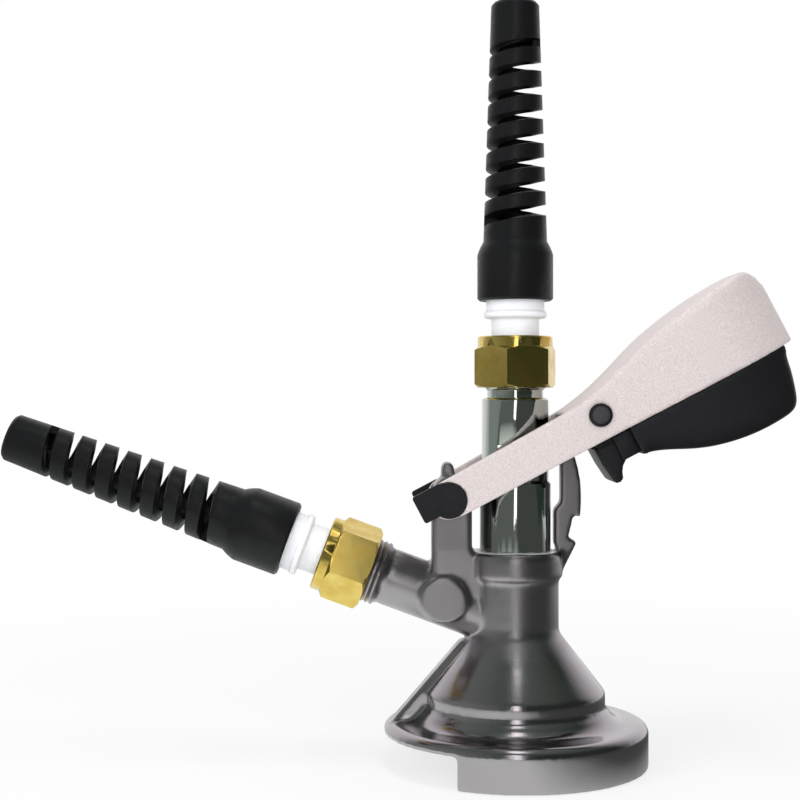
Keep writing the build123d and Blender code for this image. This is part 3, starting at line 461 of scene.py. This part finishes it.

# %% [markdown]
# ## The trigger's finger hook
# The finger pulls on a hook with a straight front, a rounded tip and a hollow back that
# runs on into the grip. The upper part is the CAD part cut off level with the arms'
# lower edge; the hook below it is a new outline, pulled to full width, with the edges
# round both of its sides rounded for the finger.

# %% Keep the trigger's upper part
trigger_cut_level = -0.0095
trigger_top = dress("trigger", black_nylon, edge=0.0004)
trigger_top.name = "trigger_top"
work = bmesh.new()
work.from_mesh(trigger_top.data)
down = (handle_frame.to_3x3() @ Vector((0, 0, -1))).normalized()
bmesh.ops.bisect_plane(
    work,
    geom=work.verts[:] + work.edges[:] + work.faces[:],
    plane_co=handle_frame @ Vector((0, 0, trigger_cut_level)),
    plane_no=down,
    clear_outer=True,
)
bmesh.ops.holes_fill(work, edges=[edge for edge in work.edges if edge.is_boundary])
work.to_mesh(trigger_top.data)
work.free()
print("trigger's upper part:", len(trigger_top.data.polygons), "faces")

# %% The finger hook
hook_outline = [
    (54.4, -8.6), (54.5, -15.0), (55.2, -21.6), (55.9, -22.9), (57.4, -23.2),
    (58.8, -22.4), (59.6, -20.3), (60.9, -18.4), (62.8, -17.0), (64.9, -16.4), (64.9, -8.6),
]
hook_half_width = 0.0126
work = bmesh.new()
corners = [
    work.verts.new(handle_frame @ Vector((u / 1000, -hook_half_width, v / 1000)))
    for u, v in hook_outline
]
side = work.faces.new(corners)
pulled = bmesh.ops.extrude_face_region(work, geom=[side])
moved = [item for item in pulled["geom"] if isinstance(item, bmesh.types.BMVert)]
bmesh.ops.translate(work, verts=moved, vec=(0, 2 * hook_half_width, 0))
bmesh.ops.recalc_face_normals(work, faces=work.faces)
rims = [
    edge for edge in work.edges
    if abs(abs(edge.verts[0].co.y) - hook_half_width) < 1e-6
    and abs(edge.verts[0].co.y - edge.verts[1].co.y) < 1e-6
]
bmesh.ops.bevel(
    work, geom=rims, offset=0.0013, offset_type="OFFSET", segments=4,
    profile=0.5, affect="EDGES", clamp_overlap=True, material=-1,
)
hook_mesh = bpy.data.meshes.new("trigger_hook")
work.to_mesh(hook_mesh)
work.free()
hook = place_mesh("trigger_hook", hook_mesh, black_nylon, hard=40.0)
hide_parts("trigger")
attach(hook, "trigger_assembly")
print("hook:", len(hook_mesh.polygons), "faces")

# %% [markdown]
# ## Small pieces
# Two thin cheeks on the grip's front cover the trigger's back, so the trigger seems to
# slide into the grip. The guide pin's heads carry a low grey dome. The gas thread shows
# two turns between the arm and the nut. Each starts as one of Blender's ready shapes or a
# small profile that is spun round.


# %% Finish a new small piece
def add_piece(name, work, finish, body, hard=40.0):
    bmesh.ops.recalc_face_normals(work, faces=work.faces)
    mesh = bpy.data.meshes.new(name)
    work.to_mesh(mesh)
    work.free()
    piece = place_mesh(name, mesh, finish, hard)
    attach(piece, body)
    print(name, len(mesh.polygons), "faces")


# %% Cheeks beside the trigger
cheek_size = (0.0090, 0.0014, 0.0092)
cheek_along, cheek_across, cheek_up = 0.0661, 0.0137, -0.0121
for side_name, side in (("near", -1), ("far", 1)):
    work = bmesh.new()
    bmesh.ops.create_cube(work, size=1.0)
    bmesh.ops.scale(work, vec=cheek_size, verts=work.verts)
    bmesh.ops.translate(
        work, vec=(cheek_along, side * cheek_across, cheek_up), verts=work.verts,
    )
    bmesh.ops.bevel(
        work, geom=work.edges[:], offset=0.0004, offset_type="OFFSET", segments=2,
        profile=0.5, affect="EDGES", clamp_overlap=True, material=-1,
    )
    bmesh.ops.transform(work, matrix=handle_frame, verts=work.verts)
    add_piece("trigger_cheek_" + side_name, work, black_nylon, "handle_assembly")

# %% Domes on the guide pin's heads
pin_grey, tree, shader = new_finish("grey_pin_end", (0.035, 0.035, 0.040), 0.0, 0.5, specular=0.4)
speckle = object_noise(tree, 1700.0, 3.0)
tree.links.new(remap(tree, speckle, 0.35, 0.55), shader.inputs["Roughness"])
add_bump(tree, shader, speckle, 0.00008, 0.7)
dome_along, dome_across, dome_up = 0.0615, 0.0191, 0.0017
dome_radius, dome_flatness = 0.0031, 0.16
for side_name, side in (("near", -1), ("far", 1)):
    work = bmesh.new()
    bmesh.ops.create_uvsphere(work, u_segments=32, v_segments=16, radius=dome_radius)
    bmesh.ops.scale(work, vec=(1.0, dome_flatness, 1.0), verts=work.verts)
    bmesh.ops.translate(
        work, vec=(dome_along, side * dome_across, dome_up), verts=work.verts,
    )
    bmesh.ops.transform(work, matrix=handle_frame, verts=work.verts)
    add_piece("pin_dome_" + side_name, work, pin_grey, "handle_assembly")

# %% Turns of the gas thread
gas_frame = frame_at(gas_root, gas_along)
thread_pitch = 0.001814
thread_start = 0.0523
ridge_half = 0.0007
for turn in range(3):
    at = thread_start + turn * thread_pitch
    work = bmesh.new()
    profile = [
        (at - ridge_half, 0.0112), (at, 0.0118), (at + ridge_half, 0.0112), (at, 0.0109),
    ]
    ring = [work.verts.new((s, 0.0, r)) for s, r in profile]
    edges = [work.edges.new((ring[i], ring[(i + 1) % 4])) for i in range(4)]
    bmesh.ops.spin(
        work, geom=ring + edges, cent=(0, 0, 0), axis=(1, 0, 0),
        angle=math.tau, steps=96, use_merge=True,
    )
    bmesh.ops.transform(work, matrix=gas_frame, verts=work.verts)
    add_piece(f"thread_turn_{turn + 1}", work, cast, "coupler_body", hard=20.0)

# %% [markdown]
# ## The studio
# The camera stands level with the neck, a little over half a metre away. The backdrop is
# white, and the side behind the camera is dark, as in a real studio: that is what draws
# the dark cores and bright rims on polished metal.

# %% Camera
camera_data = bpy.data.cameras.new("camera")
camera_data.lens = 67.5
camera_data.sensor_width = 36.0
camera = bpy.data.objects.new("camera", camera_data)
camera.location = (-0.042, -0.547, 0.1205)
camera.rotation_euler = (math.radians(90), 0.0, 0.0)
bpy.context.scene.collection.objects.link(camera)
bpy.context.scene.camera = camera
print("camera at", [round(v, 3) for v in camera.location])

# %% World: direction, from which the room's shades are read
world = bpy.data.worlds.new("studio")
bpy.context.scene.world = world
world.use_nodes = True
tree = world.node_tree
tree.nodes.clear()
direction = tree.nodes.new("ShaderNodeTexCoord")
axes = tree.nodes.new("ShaderNodeSeparateXYZ")
tree.links.new(direction.outputs["Generated"], axes.inputs["Vector"])
backdrop = remap(tree, axes.outputs["Y"], 0.0, 1.0, 0.1, 0.7)
left_wall = remap(tree, axes.outputs["X"], 0.34, 0.05, -0.95, 0.15)
ceiling = remap(tree, axes.outputs["Z"], 0.0, 0.22, 0.5, 1.0)
print("room shades from", direction.name)

# %% World: polished metal sees a dark room with a white backdrop
brightest = tree.nodes.new("ShaderNodeMath")
brightest.operation = "MAXIMUM"
tree.links.new(backdrop, brightest.inputs[0])
tree.links.new(left_wall, brightest.inputs[1])
with_ceiling = tree.nodes.new("ShaderNodeMath")
with_ceiling.operation = "MAXIMUM"
tree.links.new(brightest.outputs["Value"], with_ceiling.inputs[0])
tree.links.new(ceiling, with_ceiling.inputs[1])
tint = tree.nodes.new("ShaderNodeMix")
tint.data_type = "RGBA"
tint.inputs["A"].default_value = (0.74, 1.0, 0.82, 1.0)
tint.inputs["B"].default_value = (1.0, 1.0, 1.0, 1.0)
whitening = remap(tree, with_ceiling.outputs["Value"], 0.0, 1.0, 0.1, 0.4)
tree.links.new(whitening, tint.inputs["Factor"])
reflected = tree.nodes.new("ShaderNodeBackground")
tree.links.new(tint.outputs["Result"], reflected.inputs["Color"])
tree.links.new(with_ceiling.outputs["Value"], reflected.inputs["Strength"])
print("made the reflected room")

# %% World: even light on matt surfaces, white for the camera
rays = tree.nodes.new("ShaderNodeLightPath")
even = tree.nodes.new("ShaderNodeBackground")
even.inputs["Color"].default_value = (1.0, 1.0, 1.0, 1.0)
even.inputs["Strength"].default_value = 0.62
white = tree.nodes.new("ShaderNodeBackground")
white.inputs["Color"].default_value = (1.0, 1.0, 1.0, 1.0)
seen = tree.nodes.new("ShaderNodeMath")
seen.operation = "MAXIMUM"
tree.links.new(rays.outputs["Is Camera Ray"], seen.inputs[0])
tree.links.new(rays.outputs["Is Transmission Ray"], seen.inputs[1])
by_gloss = tree.nodes.new("ShaderNodeMixShader")
tree.links.new(rays.outputs["Is Glossy Ray"], by_gloss.inputs["Fac"])
tree.links.new(even.outputs["Background"], by_gloss.inputs[1])
tree.links.new(reflected.outputs["Background"], by_gloss.inputs[2])
choose = tree.nodes.new("ShaderNodeMixShader")
output = tree.nodes.new("ShaderNodeOutputWorld")
tree.links.new(seen.outputs["Value"], choose.inputs["Fac"])
tree.links.new(by_gloss.outputs["Shader"], choose.inputs[1])
tree.links.new(white.outputs["Background"], choose.inputs[2])
tree.links.new(choose.outputs["Shader"], output.inputs["Surface"])
print("made", world.name)

# %% [markdown]
# ## The floor
# The floor has to be pale under the object and melt into the white backdrop, so its own
# glow grows with distance, for the camera only. Polished metal is a mirror: a white floor
# would wash it out, so it sees a darker one, through Light Path's Is Glossy Ray.

# %% Floor that fades into the backdrop
floor_z = cad_box[0][2]
work = bmesh.new()
bmesh.ops.create_grid(work, x_segments=1, y_segments=1, size=60.0)
bmesh.ops.translate(work, verts=work.verts, vec=(0, 0, floor_z - 0.0001))
floor_mesh = bpy.data.meshes.new("floor")
work.to_mesh(floor_mesh)
work.free()
floor = bpy.data.objects.new("floor", floor_mesh)
bpy.context.scene.collection.objects.link(floor)
floor_finish, tree, shader = new_finish("pale_floor", (0.86, 0.86, 0.86), 0.0, 0.9)
glow = tree.nodes.new("ShaderNodeEmission")
glow.inputs["Color"].default_value = (1.0, 1.0, 1.0, 1.0)
rays = tree.nodes.new("ShaderNodeLightPath")
place = tree.nodes.new("ShaderNodeTexCoord")
away = tree.nodes.new("ShaderNodeVectorMath")
away.operation = "LENGTH"
tree.links.new(place.outputs["Object"], away.inputs[0])
sides = tree.nodes.new("ShaderNodeSeparateXYZ")
tree.links.new(place.outputs["Object"], sides.inputs["Vector"])
share = tree.nodes.new("ShaderNodeMath")
share.operation = "MULTIPLY"
tree.links.new(remap(tree, away.outputs["Value"], 0.72, 1.0, 0.06, 0.5), share.inputs[1])
tree.links.new(rays.outputs["Is Camera Ray"], share.inputs[0])
mix = tree.nodes.new("ShaderNodeMixShader")
tree.links.new(share.outputs["Value"], mix.inputs["Fac"])
tree.links.new(shader.outputs["BSDF"], mix.inputs[1])
tree.links.new(glow.outputs["Emission"], mix.inputs[2])
print("floor's own glow fades in with distance")

# %% Polished metal sees a darker floor: pale beside its left foot, dark in front
near_left = tree.nodes.new("ShaderNodeMath")
near_left.operation = "MULTIPLY"
tree.links.new(remap(tree, sides.outputs["X"], 1.15, 0.12, 0.005, 0.070), near_left.inputs[0])
tree.links.new(remap(tree, away.outputs["Value"], 1.0, 0.15, 0.12, 0.45), near_left.inputs[1])
behind = remap(tree, sides.outputs["Y"], 0.09, 0.75, 0.02, 0.60)
shade = tree.nodes.new("ShaderNodeMath")
shade.operation = "MAXIMUM"
tree.links.new(near_left.outputs["Value"], shade.inputs[0])
tree.links.new(behind, shade.inputs[1])
mirrored = tree.nodes.new("ShaderNodeEmission")
mirrored.inputs["Color"].default_value = (0.94, 1.0, 0.95, 1.0)
tree.links.new(shade.outputs["Value"], mirrored.inputs["Strength"])
by_gloss = tree.nodes.new("ShaderNodeMixShader")
tree.links.new(rays.outputs["Is Glossy Ray"], by_gloss.inputs["Fac"])
tree.links.new(mix.outputs["Shader"], by_gloss.inputs[1])
tree.links.new(mirrored.outputs["Emission"], by_gloss.inputs[2])
tree.links.new(by_gloss.outputs["Shader"], tree.nodes["Material Output"].inputs["Surface"])
floor_mesh.materials.append(floor_finish)
print("floor at", round(floor_z * 1000, 2), "mm")


# %% [markdown]
# ## The lamps
# A tall strip by the camera draws the bright line down the chromed tube, and a card
# overhead lights the cone. The other lamps only give even light: they are hidden from
# reflections, so that they don't add streaks of their own.

# %% Soft lamps
def soft_lamp(name, position, size, power, mirrored=True):
    data = bpy.data.lights.new(name, "AREA")
    data.shape = "RECTANGLE"
    data.size, data.size_y = size
    data.energy = power
    lamp = bpy.data.objects.new(name, data)
    lamp.location = position
    aim = Vector((0.0, 0.0, 0.1)) - lamp.location
    lamp.rotation_euler = aim.to_track_quat("-Z", "Y").to_euler()
    lamp.visible_glossy = mirrored
    bpy.context.scene.collection.objects.link(lamp)
    print("lamp", name, power, "W")


soft_lamp("strip", (-0.03, -0.62, 0.10), (0.09, 1.1), 0.75)
soft_lamp("fill", (0.30, -1.00, 0.40), (0.30, 0.7), 3.0, mirrored=False)
soft_lamp("side", (-0.70, -0.55, 0.45), (0.30, 0.7), 3.2, mirrored=False)
soft_lamp("top", (0.02, -0.24, 0.95), (0.20, 0.5), 2.3, mirrored=False)
soft_lamp("top_card", (0.00, -0.20, 0.90), (0.12, 0.4), 0.40)

# %% Colour
bpy.context.scene.view_settings.view_transform = "Standard"
